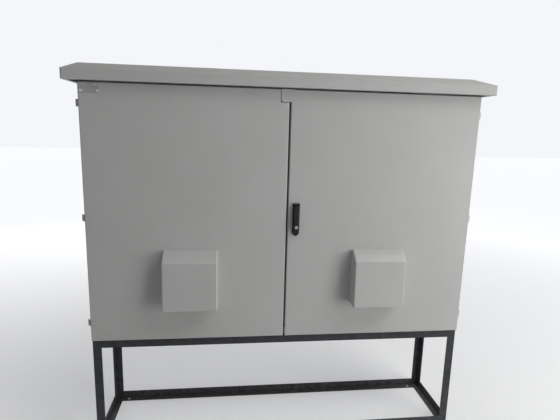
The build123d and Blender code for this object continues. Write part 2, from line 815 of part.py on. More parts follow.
def pinion():
    alpha = math.radians(pressure_angle)
    base_radius = pitch_radius * math.cos(alpha)
    tip_radius = pitch_radius + gear_module
    root_radius = pitch_radius - 1.25 * gear_module
    half_tooth = (math.pi * gear_module / 2 - backlash / 2) / (2 * pitch_radius)

    def offset(radius):
        return half_tooth + involute(alpha) - involute(math.acos(min(1.0, base_radius / radius)))

    flank = [root_radius, base_radius, pitch_radius, tip_radius]
    points = []
    for tooth in range(gear_teeth):
        middle = 2 * math.pi * (tooth + 0.5) / gear_teeth
        for radius, turn in [(r, -offset(max(r, base_radius))) for r in flank]:
            points.append((radius * math.cos(middle + turn), radius * math.sin(middle + turn)))
        for radius, turn in [(r, offset(max(r, base_radius))) for r in reversed(flank)]:
            points.append((radius * math.cos(middle + turn), radius * math.sin(middle + turn)))
    outline = make_face(Plane.XZ * Polyline(*points, close=True))
    body = extrude(outline, gear_width / 2, both=True)
    length = gear_width + 2 * journal_length
    body += rod(0, -length / 2, 0, journal_radius, length, (0, 1, 0))
    socket = spindle_size / 2 + running_clearance
    body -= block(-socket, socket, -length, length, -socket, socket)
    return Pos(handle_x, rod_plane, spindle_z) * body


def rod_bar(side, up):
    """A flat rod with rack teeth that face the pinion. side is -1 left of the spindle."""
    thickness = math.pi * gear_module / 2 - backlash / 2
    slope = math.tan(math.radians(pressure_angle))
    dedendum = 1.25 * gear_module
    addendum = rack_addendum * gear_module
    pitch = math.pi * gear_module
    root = side * (pitch_radius + dedendum)
    tip = side * (pitch_radius - addendum)
    back = root + side * rod_width
    steps = range(-1, 6) if up else range(-5, 2)
    teeth = []
    for step in steps:
        z = step * pitch
        wide = thickness / 2 + dedendum * slope
        narrow = thickness / 2 - addendum * slope
        teeth += [(root, z - wide), (tip, z - narrow), (tip, z + narrow), (root, z + wide)]
    far = (lip_top - rod_end_clearance if up else lip_bottom + rod_end_clearance) - spindle_z
    near = -rod_overrun if up else rod_overrun
    low, high = min(near, far), max(near, far)
    outline = [(back, low), (root, low)] + teeth + [(root, high), (back, high)]
    bar = extrude(make_face(Plane.XZ * Polyline(*outline, close=True)), rod_thickness / 2, both=True)
    return Pos(handle_x, rod_plane, spindle_z) * bar


def case_half_width():
    return pitch_radius + 1.25 * gear_module + rod_width + guide_clearance + case_wall


def gearbox_case():
    """Open tray: floor, two side walls that guide the rods, and end walls with their slots."""
    half = case_half_width()
    floor = case_floor
    rim = rod_plane + gear_width / 2 + 1.0
    body = block(-half, half, floor, rim, -case_half_height, case_half_height)
    inner = half - case_wall
    room = case_half_height - case_wall
    body -= block(-inner, inner, floor + case_plate, rim + 1, -room, room)
    slot = rod_thickness / 2 + guide_clearance
    reach = pitch_radius - rack_addendum * gear_module - guide_clearance
    for side, end in ((-1, 1), (1, -1)):
        body -= block(side * reach, side * inner, rod_plane - slot, rim + 1, 0, end * (case_half_height + 1))
    body -= rod(0, floor - 1, 0, journal_radius + running_clearance, case_plate + 2, (0, 1, 0))
    return Pos(handle_x, 0, spindle_z) * body


def gearbox_cover():
    half = case_half_width()
    rim = rod_plane + gear_width / 2 + 1.0
    body = block(-half, half, rim, rim + case_plate, -case_half_height, case_half_height)
    body = fillet(body.edges().filter_by(Axis.Y), 3.0)
    body -= rod(0, rim - 1, 0, journal_radius + running_clearance, case_plate + 2, (0, 1, 0))
    return Pos(handle_x, 0, spindle_z) * body


def lock_bracket():
    """Hat-shaped bracket on the door's inner face that carries the gearbox."""
    x0 = door_edge + door_return + 1.0
    x1 = handle_x + case_half_width()
    half = case_half_height + bracket_margin
    body = block(x0, x1, case_floor - bracket_sheet, case_floor, -half, half)
    for end in (-1, 1):
        inner = end * (half - bracket_sheet)
        body += block(x0, x1, door_inner, case_floor, end * half, inner)
        body += block(x0, x1, door_inner, door_inner + bracket_sheet, inner, end * (half + bracket_foot))
    body -= rod(handle_x, case_floor - bracket_sheet - 1, 0, journal_radius + 1.0, bracket_sheet + 2,
                (0, 1, 0))
    return Pos(0, 0, spindle_z) * body


def rod_guides():
    """Nylon guides on the door's inner face, one pair for each rod."""
    solids = []
    inner = pitch_radius + 1.25 * gear_module
    for side, end in ((-1, lip_top), (1, lip_bottom)):
        for share in guide_shares:
            x0 = handle_x + side * (inner - guide_wall)
            x1 = handle_x + side * (inner + rod_width + guide_wall)
            neck = handle_x + side * (inner + rod_width / 2)
            z = spindle_z + share * (end - spindle_z)
            head_front = rod_plane - rod_thickness / 2 - guide_wall
            body = block(x0, x1, head_front, rod_plane + rod_thickness / 2 + guide_wall, z, z + guide_height)
            body += block(x0, neck, door_inner, head_front, z, z + guide_height)
            slot = rod_thickness / 2 + guide_clearance
            a = handle_x + side * (inner - guide_clearance)
            b = handle_x + side * (inner + rod_width + guide_clearance)
            body -= block(a, b, rod_plane - slot, rod_plane + slot, z - 1, z + guide_height + 1)
            solids.append(body)
    return Compound(children=solids)


# Shoot bolts of the left door

def shoot_bolt(up):
    """Round bolt with a thumb knob, drawn back at rest."""
    way = 1 if up else -1
    tip = (lip_top if up else lip_bottom) - way * bolt_rest_gap
    body = rod(bolt_x, bolt_plane, tip, bolt_radius, bolt_length, (0, 0, -way))
    body = chamfer(body.edges().filter_by(GeomType.CIRCLE).sort_by(Axis.Z)[-1 if up else 0], 1.5)
    knob = tip - way * (bolt_length - bolt_tail - knob_lift)
    return body + rod(bolt_x, bolt_plane, knob, knob_radius, knob_length, (0, 1, 0))


def bolt_brackets():
    """Two folded brackets, each with two eyes that guide a bolt."""
    solids = []
    for up in (True, False):
        way = 1 if up else -1
        tip = (lip_top if up else lip_bottom) - way * bolt_rest_gap
        low = tip - way * (bolt_length - bolt_tail)
        high = low + way * ear_spacing
        x0 = bolt_x - bolt_plate_half
        x1 = bolt_x + bolt_plate_half
        body = block(x0, x1, door_inner, door_inner + sheet, low, high)
        for level in (low, high - way * ear_thickness):
            body += block(x0, x1, door_inner, bolt_plane + bolt_radius + ear_margin, level,
                          level + way * ear_thickness)
        body -= rod(bolt_x, bolt_plane, low - way, bolt_radius + running_clearance, ear_spacing + 2,
                    (0, 0, way))
        solids.append(body)
    return Compound(children=solids)


def filter_retainer():
    """Frame that holds the right vent's filter from inside."""
    half = fan_size / 2
    y0 = door_face + grille_depth
    body = block(-half, half, y0, y0 + retainer_depth, -half, half)
    window = half - retainer_rim
    body -= block(-window, window, y0 - 1, y0 + retainer_depth + 1, -window, window)
    for x in (-window / 3, window / 3):
        body += block(x - 1.5, x + 1.5, y0, y0 + retainer_depth, -window, window)
    return Pos(hood_x, 0, vent_z) * body


def both_sides(solids):
    return Compound(children=solids + [mirrored(solid) for solid in solids])


def mirrored_group(solids):
    return Compound(children=[mirrored(solid) for solid in solids])


nodes = {
    "leg_front_left": leg(-1, -1),
    "leg_front_right": leg(1, -1),
    "leg_rear_left": leg(-1, 1),
    "leg_rear_right": leg(1, 1),
    "base_rail_front": long_rail(-1, False),
    "base_rail_rear": long_rail(1, False),
    "base_rail_left": side_rail(-1, False),
    "base_rail_right": side_rail(1, False),
    "top_rail_front": long_rail(-1, True),
    "top_rail_rear": long_rail(1, True),
    "top_rail_left": side_rail(-1, True),
    "top_rail_right": side_rail(1, True),
    "stand_bolts": stand_bolts(),
    "side_panel_left": side_panel(),
    "side_panel_right": mirrored(side_panel()),
    "top_panel": end_panel(True),
    "bottom_panel": bottom_panel(),
    "back_panel": back_panel(),
    "canopy": canopy(),
    "canopy_support_left": canopy_support(),
    "canopy_support_right": mirrored(canopy_support()),
    "gland_plate": gland_plate(),
    "mounting_plate": mounting_plate(),
    "mounting_studs": plate_studs(),
    "mounting_nuts": plate_nuts(),
    "earth_stud": earth_stud(),
    "hinge_frame_leaves": both_sides(frame_knuckles()),
    "hinge_pins": both_sides(hinge_pins()),
    "left_door": left_door(),
    "left_hinge_leaves": Compound(children=door_knuckles()),
    "left_door_gasket": gasket(-1, left_gasket_start),
    "meeting_seal": meeting_seal(),
    "left_hood": hood(),
    "left_grille": grille(),
    "left_filter_mat": filter_mat(),
    "fan_housing": fan_housing(),
    "fan_impeller": fan_impeller(),
    "bolt_brackets": bolt_brackets(),
    "left_top_bolt": shoot_bolt(True),
    "left_bottom_bolt": shoot_bolt(False),
    "right_door": right_door(),
    "right_hinge_leaves": mirrored_group(door_knuckles()),
    "right_door_gasket": gasket(1, gasket_start),
    "right_hood": mirrored(hood()),
    "right_grille": mirrored(grille()),
    "right_filter_mat": mirrored(filter_mat()),
    "filter_retainer": filter_retainer(),
    "handle_base": handle_base(),
    "handle_hub": handle_hub(),
    "handle_spindle": handle_spindle(),
    "handle_lever": handle_lever(),
    "lever_pin": lever_pin(),
    "lock_cylinder": lock_cylinder(),
    "lock_bracket": lock_bracket(),
    "gearbox_case": gearbox_case(),
    "gearbox_cover": gearbox_cover(),
    "rod_guides": rod_guides(),
    "pinion": pinion(),
    "top_rod": rod_bar(-1, True),
    "bottom_rod": rod_bar(1, False),
}

os.makedirs("parts", exist_ok=True)
for name, shape in nodes.items():
    export_step(shape, f"parts/{name}.step")
print(len(nodes), "sub-parts")
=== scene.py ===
import json
import math

import bmesh
import bpy
from mathutils import Matrix, Vector


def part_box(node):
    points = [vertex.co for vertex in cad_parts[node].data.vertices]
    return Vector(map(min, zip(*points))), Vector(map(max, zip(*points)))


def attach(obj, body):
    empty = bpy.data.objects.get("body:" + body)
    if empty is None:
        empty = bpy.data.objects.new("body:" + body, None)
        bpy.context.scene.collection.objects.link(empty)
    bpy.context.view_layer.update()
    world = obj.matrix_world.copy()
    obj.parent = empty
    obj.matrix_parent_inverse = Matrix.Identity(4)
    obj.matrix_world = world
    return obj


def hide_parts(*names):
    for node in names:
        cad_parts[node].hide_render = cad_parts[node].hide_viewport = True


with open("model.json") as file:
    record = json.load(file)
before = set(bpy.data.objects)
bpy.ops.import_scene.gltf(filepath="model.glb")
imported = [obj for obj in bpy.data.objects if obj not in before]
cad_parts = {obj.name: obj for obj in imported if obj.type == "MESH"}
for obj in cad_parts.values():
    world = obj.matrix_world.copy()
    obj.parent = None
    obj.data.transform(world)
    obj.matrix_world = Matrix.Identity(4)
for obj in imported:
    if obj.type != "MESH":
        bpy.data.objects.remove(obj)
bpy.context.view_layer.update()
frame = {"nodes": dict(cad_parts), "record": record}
nodes = frame["nodes"]
print("frame loaded:", len(nodes), "nodes")


# Camera and light

photoView = {
    "place": (-0.2768, -2.1822, 1.5659),
    "yaw": 0.121423,  # radians, as pitch and roll are
    "pitch": 0.181914,
    "roll": -0.0268942,
    "lens": 27.46,
    "sensor": 36.0,
    "clip": 60.0,
}


def aimCamera(view):
    sy, cy = math.sin(view["yaw"]), math.cos(view["yaw"])
    sp, cp = math.sin(view["pitch"]), math.cos(view["pitch"])
    forward = Vector((sy * cp, cy * cp, -sp))
    right = Vector((cy, -sy, 0.0))
    down = forward.cross(right)
    sr, cr = math.sin(view["roll"]), math.cos(view["roll"])
    right, down = cr * right + sr * down, cr * down - sr * right
    camera = bpy.data.objects.new("photoCamera", bpy.data.cameras.new("photoCamera"))
    camera.data.lens = view["lens"]
    camera.data.sensor_width = view["sensor"]
    camera.data.clip_end = view["clip"]
    bpy.context.scene.collection.objects.link(camera)
    turn = Matrix((right, -down, -forward)).transposed().to_4x4()
    camera.matrix_world = Matrix.Translation(view["place"]) @ turn
    bpy.context.scene.camera = camera


lamps = {
    "sideLight": {"place": (2.85, -2.45, 1.05), "aim": (0.1, 0.0, 1.1), "size": 1.8, "watts": 45.0},
    "topLight": {"place": (2.2, -1.4, 4.2), "aim": (0.2, 0.0, 1.4), "size": 2.4, "watts": 75.0},
    "leftFill": {"place": (-3.4, -2.8, 1.7), "aim": (0.0, 0.0, 1.0), "size": 2.4, "watts": 4.0},
    "backFill": {"place": (-1.5, 4.4, 3.0), "aim": (0.0, 0.0, 1.0), "size": 3.0, "watts": 52.0},
}


def addLamp(name, lamp):
    data = bpy.data.lights.new(name, "AREA")
    data.size = lamp["size"]
    data.energy = lamp["watts"]
    light = bpy.data.objects.new(name, data)
    bpy.context.scene.collection.objects.link(light)
    way = Vector(lamp["aim"]) - Vector(lamp["place"])
    light.matrix_world = Matrix.Translation(lamp["place"]) @ way.to_track_quat("-Z", "Y").to_matrix().to_4x4()


aimCamera(photoView)
for lampName, lampValues in lamps.items():
    addLamp(lampName, lampValues)
bpy.context.scene.view_settings.view_transform = "Standard"
print("camera and lamps set")


# Node helpers

def addNode(tree, kind, inputs=None, **settings):
    node = tree.nodes.new(kind)
    for key, value in settings.items():
        setattr(node, key, value)
    for key, value in (inputs or {}).items():
        if isinstance(value, bpy.types.NodeSocket):
            tree.links.new(value, node.inputs[key])
        else:
            node.inputs[key].default_value = value
    return node


def newMaterial(name):
    material = bpy.data.materials.new(name)
    material.use_nodes = True
    tree = material.node_tree
    place = addNode(tree, "ShaderNodeTexCoord").outputs["Object"]
    return material, tree, tree.nodes["Principled BSDF"], place


def noise(tree, place, scale, detail=3.0, rough=0.5):
    return addNode(tree, "ShaderNodeTexNoise",
                   {"Vector": place, "Scale": scale, "Detail": detail, "Roughness": rough}).outputs["Fac"]


def stretched(tree, place, scale):
    return addNode(tree, "ShaderNodeMapping", {"Vector": place, "Scale": scale}).outputs["Vector"]


def span(tree, value, low, high, toLow=0.0, toHigh=1.0):
    return addNode(tree, "ShaderNodeMapRange", {"Value": value, "From Min": low, "From Max": high,
                                                "To Min": toLow, "To Max": toHigh}).outputs["Result"]


def times(tree, a, b):
    return addNode(tree, "ShaderNodeMath", {0: a, 1: b}, operation="MULTIPLY").outputs[0]


def blended(tree, share, a, b):
    a = a if isinstance(a, bpy.types.NodeSocket) else (*a, 1.0)
    b = b if isinstance(b, bpy.types.NodeSocket) else (*b, 1.0)
    return addNode(tree, "ShaderNodeMix", {0: share, 6: a, 7: b}, data_type="RGBA").outputs[2]


def bumped(tree, shader, height, strength, distance, under=None):
    inputs = {"Height": height, "Strength": strength, "Distance": distance}
    if under:
        inputs["Normal"] = under
    normal = addNode(tree, "ShaderNodeBump", inputs).outputs["Normal"]
    tree.links.new(normal, shader.inputs["Normal"])
    return normal


def upwards(tree):
    normal = addNode(tree, "ShaderNodeNewGeometry").outputs["Normal"]
    return addNode(tree, "ShaderNodeSeparateXYZ", {0: normal}).outputs[2]


def feed(tree, shader, **values):
    for key, value in values.items():
        socket = shader.inputs[key.replace("_", " ")]
        if isinstance(value, bpy.types.NodeSocket):
            tree.links.new(value, socket)
        else:
            socket.default_value = value


# Finishes

powderCoat = {
    "color": (0.565, 0.567, 0.557), "handled": (0.535, 0.537, 0.525), "dust": (0.46, 0.44, 0.40),
    "clouds": 2.3, "peel": 850.0, "waves": 3.1, "rough": (0.38, 0.5), "gloss": 0.32,
    "splash": 0.22, "splashFrom": 0.80, "splashTo": 0.552, "runs": 0.07, "runScale": (46.0, 46.0, 1.3),
    "roofDust": 0.48, "roofFrom": 1.76, "roofTo": 1.80,
}


def makePowderCoat(look):
    material, tree, shader, place = newMaterial("cabinetPaint")
    cloudy = span(tree, noise(tree, place, look["clouds"], 4.0), 0.35, 0.7)
    color = blended(tree, cloudy, look["color"], look["handled"])
    height = addNode(tree, "ShaderNodeSeparateXYZ", {0: place}).outputs[2]
    low = span(tree, height, look["splashFrom"], look["splashTo"], 0.0, look["splash"])
    splash = times(tree, low, span(tree, noise(tree, place, 24.0, 6.0, 0.65), 0.45, 0.75))
    color = blended(tree, splash, color, look["dust"])
    run = noise(tree, stretched(tree, place, look["runScale"]), 1.0, 3.0)
    color = blended(tree, span(tree, run, 0.56, 0.8, 0.0, look["runs"]), color, look["dust"])
    facingUp = span(tree, upwards(tree), 0.6, 0.95, 0.0, look["roofDust"])
    roof = times(tree, facingUp, span(tree, height, look["roofFrom"], look["roofTo"]))
    settled = times(tree, roof, span(tree, noise(tree, place, 9.0, 6.0), 0.3, 0.7))
    color = blended(tree, settled, color, look["dust"])
    rough = span(tree, noise(tree, place, 7.0, 5.0), 0.3, 0.7, *look["rough"])
    dull = addNode(tree, "ShaderNodeMath", {0: rough, 1: roof}, operation="ADD").outputs[0]
    feed(tree, shader, Base_Color=color, Roughness=dull, Specular_IOR_Level=look["gloss"])
    fine = bumped(tree, shader, noise(tree, place, look["peel"], 2.0), 0.22, 0.0004)
    waves = noise(tree, place, look["waves"], 2.0)  # the sheet isn't quite flat
    bumped(tree, shader, waves, 0.25, 0.004, fine)
    return material


blackEnamel = {
    "color": (0.036, 0.038, 0.043), "faded": (0.062, 0.065, 0.072), "dust": (0.150, 0.148, 0.146),
    "rust": (0.12, 0.055, 0.03), "rough": (0.46, 0.66), "gloss": 0.22, "brush": 30.0, "chips": 110.0,
    "grime": 0.55, "grimeFrom": 0.26, "settled": 0.5,
}


def makeBlackEnamel(look):
    material, tree, shader, place = newMaterial("standPaint")
    brush = noise(tree, place, look["brush"], 6.0, 0.7)
    color = blended(tree, span(tree, brush, 0.4, 0.7), look["color"], look["faded"])
    height = addNode(tree, "ShaderNodeSeparateXYZ", {0: place}).outputs[2]
    low = span(tree, height, look["grimeFrom"], 0.0, 0.0, look["grime"])
    grime = times(tree, low, span(tree, noise(tree, place, 38.0, 7.0, 0.7), 0.4, 0.66))
    color = blended(tree, grime, color, look["dust"])
    ledge = span(tree, upwards(tree), 0.4, 0.9, 0.0, look["settled"])
    settled = times(tree, ledge, span(tree, noise(tree, place, 60.0, 5.0), 0.25, 0.6))
    color = blended(tree, settled, color, look["dust"])
    chips = span(tree, noise(tree, place, look["chips"], 3.0, 0.6), 0.70, 0.74)
    color = blended(tree, chips, color, look["rust"])
    feed(tree, shader, Base_Color=color, Roughness=span(tree, brush, 0.3, 0.7, *look["rough"]),
         Specular_IOR_Level=look["gloss"])
    fine = bumped(tree, shader, noise(tree, place, 420.0, 3.0), 0.35, 0.0005)
    bumped(tree, shader, chips, 0.6, 0.0004, fine)
    return material


def makeMetal(name, color, tint, grain, rough, metal=1.0, direction=(1.0, 1.0, 1.0)):
    material, tree, shader, place = newMaterial(name)
    lines = noise(tree, stretched(tree, place, direction), grain, 4.0, 0.6)
    patches = noise(tree, place, 18.0, 4.0)
    mixed = blended(tree, span(tree, patches, 0.35, 0.7), color, tint)
    feed(tree, shader, Base_Color=mixed, Metallic=metal,
         Roughness=span(tree, lines, 0.3, 0.7, rough - 0.07, rough + 0.09))
    bumped(tree, shader, lines, 0.18, 0.0002)
    return material


spangled = {"dark": (0.50, 0.52, 0.53), "light": (0.66, 0.67, 0.67), "spangle": 85.0, "rough": (0.32, 0.5)}


def makeGalvanised(look):
    material, tree, shader, place = newMaterial("galvanisedSheet")
    spangle = addNode(tree, "ShaderNodeTexVoronoi", {"Vector": place, "Scale": look["spangle"]})
    value = addNode(tree, "ShaderNodeSeparateColor", {0: spangle.outputs["Color"]}).outputs[0]
    color = blended(tree, value, look["dark"], look["light"])
    feed(tree, shader, Base_Color=color, Metallic=1.0, Roughness=span(tree, value, 0.0, 1.0, *look["rough"]))
    bumped(tree, shader, noise(tree, place, 500.0, 2.0), 0.1, 0.0002)
    return material


def makeMoulded(name, color, worn, grain, rough, gloss=0.3):
    material, tree, shader, place = newMaterial(name)
    texture = noise(tree, place, grain, 2.0)
    wear = span(tree, noise(tree, place, 40.0, 6.0, 0.65), 0.5, 0.75)
    feed(tree, shader, Base_Color=blended(tree, wear, color, worn),
         Roughness=span(tree, texture, 0.3, 0.7, rough - 0.06, rough + 0.08), Specular_IOR_Level=gloss)
    bumped(tree, shader, texture, 0.3, 0.0003)
    return material


def makeRubber(name, color, bloom, grain, rough):
    material, tree, shader, place = newMaterial(name)
    pores = noise(tree, place, grain, 5.0, 0.7)
    grey = span(tree, noise(tree, place, 12.0, 5.0), 0.45, 0.8, 0.0, 0.7)
    feed(tree, shader, Base_Color=blended(tree, grey, color, bloom), Roughness=rough, Specular_IOR_Level=0.3)
    bumped(tree, shader, pores, 0.6, 0.0005)
    return material


fleece = {
    "shade": (0.58, 0.57, 0.53), "light": (0.80, 0.80, 0.77), "soil": (0.42, 0.40, 0.36), "soiled": 0.55,
    "upright": (900.0, 300.0, 260.0), "level": (260.0, 300.0, 900.0),
}


def makeFleece(look):
    material, tree, shader, place = newMaterial("filterFleece")
    strands = noise(tree, stretched(tree, place, look["upright"]), 1.0, 6.0, 0.75)
    crossing = noise(tree, stretched(tree, place, look["level"]), 1.0, 6.0, 0.75)
    weave = times(tree, strands, crossing)
    soiled = span(tree, noise(tree, place, 14.0, 5.0), 0.4, 0.75, 0.0, look["soiled"])
    light = blended(tree, span(tree, weave, 0.12, 0.36), look["shade"], look["light"])
    feed(tree, shader, Base_Color=blended(tree, soiled, light, look["soil"]), Roughness=0.95)
    bumped(tree, shader, weave, 0.9, 0.0015)
    return material


alongRods = (1.0, 1.0, 0.12)  # drawn marks run up and down
alongPlate = (0.04, 1.0, 1.0)  # brushed from side to side
finishes = {  # name, color, second color, grain, roughness, then gloss or metal and direction
    "cabinet_paint": makePowderCoat(powderCoat),
    "stand_paint": makeBlackEnamel(blackEnamel),
    "black_zinc": makeMoulded("blackZinc", (0.013, 0.013, 0.015), (0.030, 0.030, 0.030), 1100.0, 0.42, 0.2),
    "zinc_steel": makeMetal("zincPlate", (0.52, 0.52, 0.50), (0.58, 0.56, 0.49), 700.0, 0.36, 1.0, alongRods),
    "galvanised": makeGalvanised(spangled),
    "brass_stud": makeMetal("brassStud", (0.72, 0.53, 0.22), (0.60, 0.42, 0.17), 900.0, 0.3),
    # lock chrome colour darkened well below real chrome as painted shade, standing in for dim reflections of
    # the surroundings
    "lock_chrome": makeMetal("lockChromePaintedShade", (0.38, 0.38, 0.38), (0.30, 0.30, 0.30), 1400.0, 0.22),
    "foam_rubber": makeRubber("foamStrip", (0.030, 0.030, 0.031), (0.07, 0.07, 0.07), 900.0, 0.88),
    "seal_rubber": makeRubber("sealRubber", (0.018, 0.018, 0.018), (0.05, 0.05, 0.05), 400.0, 0.62),
    "grey_plastic": makeMoulded("greyPlastic", (0.50, 0.51, 0.50), (0.43, 0.42, 0.39), 1300.0, 0.5),
    "black_plastic": makeMoulded("blackPlastic", (0.025, 0.025, 0.027), (0.07, 0.065, 0.06), 1300.0, 0.46),
    "filter_fleece": makeFleece(fleece),
    "guide_nylon": makeMoulded("guideNylon", (0.74, 0.73, 0.67), (0.66, 0.64, 0.57), 1000.0, 0.42),
}
brushedPlate = makeMetal("brushedPlate", (0.36, 0.365, 0.355), (0.28, 0.285, 0.275), 900.0, 0.5, 0.35,
                         alongPlate)
paleField = makeMetal("paleField", (0.62, 0.62, 0.59), (0.54, 0.54, 0.51), 900.0, 0.5, 0.1, alongPlate)
# eyelet metal darkened as painted shade, standing in for dim reflections of the surroundings
paintedShadeEyelet = makeMetal("eyeletPaintedShade", (0.44, 0.44, 0.42), (0.34, 0.34, 0.32), 900.0, 0.34)
for entry in frame["record"]["subparts"]:
    nodes[entry["node"]].material_slots[0].material = finishes[entry["material_slot"]]
print("finishes done:", len(finishes))


# Piece helpers

tiny = 1e-6


def addPiece(name, shape, finish, body, smooth):
    bmesh.ops.recalc_face_normals(shape, faces=shape.faces)
    mesh = bpy.data.meshes.new(name)
    shape.to_mesh(mesh)
    shape.free()
    piece = bpy.data.objects.new(name, mesh)
    bpy.context.scene.collection.objects.link(piece)
    mesh.materials.append(finish)
    mesh.shade_smooth()
    mesh.set_sharp_from_angle(angle=math.radians(smooth))
    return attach(piece, body)


def sweptRings(shape, rings, caps=True):
    loops = [[shape.verts.new(point) for point in ring] for ring in rings]
    count = len(loops[0])
    for first, second in zip(loops, loops[1:]):
        for i in range(count):
            j = (i + 1) % count
            shape.faces.new((first[i], first[j], second[j], second[i]))
    if caps:
        shape.faces.new(loops[0])
        shape.faces.new(loops[-1])


# Fastener heads, spread by one Geometry Nodes tree

def headShape(name, profile, steps, arm=0.0, armWidth=0.0, depth=0.0, taper=0.7):
    shape = bmesh.new()

    def recess(angle):
        c, s = max(abs(math.cos(angle)), tiny), max(abs(math.sin(angle)), tiny)
        return max(min(arm / c, armWidth / s), min(arm / s, armWidth / c))

    angles = [2 * math.pi * i / steps for i in range(steps)]
    rings = [[(r * math.cos(a), r * math.sin(a), z) for a in angles] for r, z in profile]
    if arm:  # a cross recess
        top = profile[-1][1]
        for share, z in ((1.0, top), (taper, top - depth)):
            reach = [(recess(a) * share, a) for a in angles]
            rings.append([(r * math.cos(a), r * math.sin(a), z) for r, a in reach])
    sweptRings(shape, rings)
    bmesh.ops.recalc_face_normals(shape, faces=shape.faces)
    mesh = bpy.data.meshes.new(name)
    shape.to_mesh(mesh)
    shape.free()
    return bpy.data.objects.new(name, mesh)  # a pattern for the tree, never in the scene itself


def makeHeadTree():
    tree = bpy.data.node_groups.new("fastenerHeads", "GeometryNodeTree")
    face = tree.interface
    face.new_socket("Seats", in_out="INPUT", socket_type="NodeSocketGeometry")
    face.new_socket("Head", in_out="INPUT", socket_type="NodeSocketObject")
    face.new_socket("Head Radius", in_out="INPUT", socket_type="NodeSocketFloat")
    face.new_socket("Spin Seed", in_out="INPUT", socket_type="NodeSocketInt")
    face.new_socket("Finish", in_out="INPUT", socket_type="NodeSocketMaterial")
    face.new_socket("Heads", in_out="OUTPUT", socket_type="NodeSocketGeometry")
    given = addNode(tree, "NodeGroupInput").outputs
    head = addNode(tree, "GeometryNodeObjectInfo", {"Object": given["Head"], "As Instance": True})
    facing = addNode(tree, "GeometryNodeInputNamedAttribute", {"Name": "facing"}, data_type="FLOAT_VECTOR")
    turned = addNode(tree, "FunctionNodeAlignRotationToVector",
                     {"Vector": facing.outputs["Attribute"]}, axis="Z")
    spin = addNode(tree, "FunctionNodeRandomValue", {"Seed": given["Spin Seed"]}, data_type="FLOAT")
    spin.inputs[3].default_value = math.pi  # the widest turn
    about = addNode(tree, "FunctionNodeAxisAngleToRotation",
                    {"Axis": (0.0, 0.0, 1.0), "Angle": spin.outputs[1]})
    both = addNode(tree, "FunctionNodeRotateRotation",
                   {"Rotation": turned.outputs["Rotation"], "Rotate By": about.outputs["Rotation"]},
                   rotation_space="LOCAL")
    spread = addNode(tree, "GeometryNodeInstanceOnPoints",
                     {"Points": given["Seats"], "Instance": head.outputs["Geometry"],
                      "Rotation": both.outputs["Rotation"], "Scale": given["Head Radius"]})
    solid = addNode(tree, "GeometryNodeRealizeInstances", {"Geometry": spread.outputs["Instances"]})
    painted = addNode(tree, "GeometryNodeSetMaterial",
                      {"Geometry": solid.outputs["Geometry"], "Material": given["Finish"]})
    addNode(tree, "NodeGroupOutput", {"Heads": painted.outputs["Geometry"]})
    return tree


def runTree(name, tree, source, values, finish, body, smooth=35.0):
    bpy.context.scene.collection.objects.link(source)
    modifier = source.modifiers.new("spread", "NODES")
    modifier.node_group = tree
    sockets = {item.name: item.identifier for item in tree.interface.items_tree if item.in_out == "INPUT"}
    for label, value in {**values, "Finish": finish}.items():
        modifier[sockets[label]] = value
    view = bpy.context.evaluated_depsgraph_get()
    mesh = bpy.data.meshes.new_from_object(source.evaluated_get(view), depsgraph=view)
    mesh.name = name
    source.modifiers.remove(modifier)
    bpy.data.objects.remove(source)
    piece = bpy.data.objects.new(name, mesh)
    bpy.context.scene.collection.objects.link(piece)
    mesh.materials.clear()
    mesh.materials.append(finish)
    mesh.shade_smooth()
    mesh.set_sharp_from_angle(angle=math.radians(smooth))
    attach(piece, body)


def seatMesh(name, seats):
    mesh = bpy.data.meshes.new(name)
    mesh.from_pydata([place for place, _ in seats], [], [])
    facing = mesh.attributes.new("facing", "FLOAT_VECTOR", "POINT")
    for i, (_, way) in enumerate(seats):
        facing.data[i].vector = way
    return bpy.data.objects.new(name, mesh)


panProfile = [(1.0, -0.05), (1.0, 0.12), (0.93, 0.34), (0.74, 0.52), (0.5, 0.60)]
domeProfile = [(1.0, -0.05), (0.97, 0.12), (0.82, 0.34), (0.52, 0.50), (0.2, 0.56)]
eyeletProfile = [(1.0, -0.05), (1.0, 0.06), (0.86, 0.17), (0.64, 0.17), (0.50, 0.03), (0.3, 0.02)]
heads = {
    "pan": headShape("panHead", panProfile, 24, arm=0.42, armWidth=0.11, depth=0.30),
    "eyelet": headShape("eyeletHead", eyeletProfile, 20),
    "dome": headShape("domeHead", domeProfile, 16),
}
headTree = makeHeadTree()
inwards, outwards, downwards = (0.0, 1.0, 0.0), (0.0, -1.0, 0.0), (0.0, 0.0, -1.0)
hinges = {"levels": (0.644, 1.155, 1.666), "side": 0.928, "frameRow": -0.1525, "doorRow": -0.1865,
          "spread": 0.0085, "radius": 0.0031}


def hingeSeats(side, row):
    return [((side * hinges["side"], row, level + step), (side, 0.0, 0.0))
            for level in hinges["levels"] for step in (-hinges["spread"], hinges["spread"])]


def fourSeats(x, y, z, halfWidth, halfHeight):
    return [((x + a * halfWidth, y, z + b * halfHeight), inwards) for a in (-1, 1) for b in (-1, 1)]


def middleOf(node):
    low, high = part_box(node)
    return (low + high) / 2


spindle = middleOf("handle_spindle")
lockBracket = middleOf("lock_bracket")
leftHood = middleOf("left_hood")
rightHood = middleOf("right_hood")
fan = middleOf("fan_housing")
glandPlate = {"under": 0.550, "across": (-0.271, 0.0, 0.271), "deep": (-0.091, 0.091)}
filterUnits = {"fanBack": -0.140, "fanPitch": 0.0775, "retainerBack": -0.172, "retainerPitch": 0.0815}
lockCase = {"back": -0.160, "pitch": (0.0245, 0.0315), "bracketBack": -0.196, "bracketPitch": (0.0165, 0.055)}
handleBase = {"back": -0.198, "drops": (0.032, 0.118)}
shootBolts = {"back": -0.196, "columns": (-0.0695, -0.0545), "levels": (0.690, 1.620)}
plateEyelets = {"front": -0.2007, "columns": (-0.9115, -0.8415), "level": 1.7185}

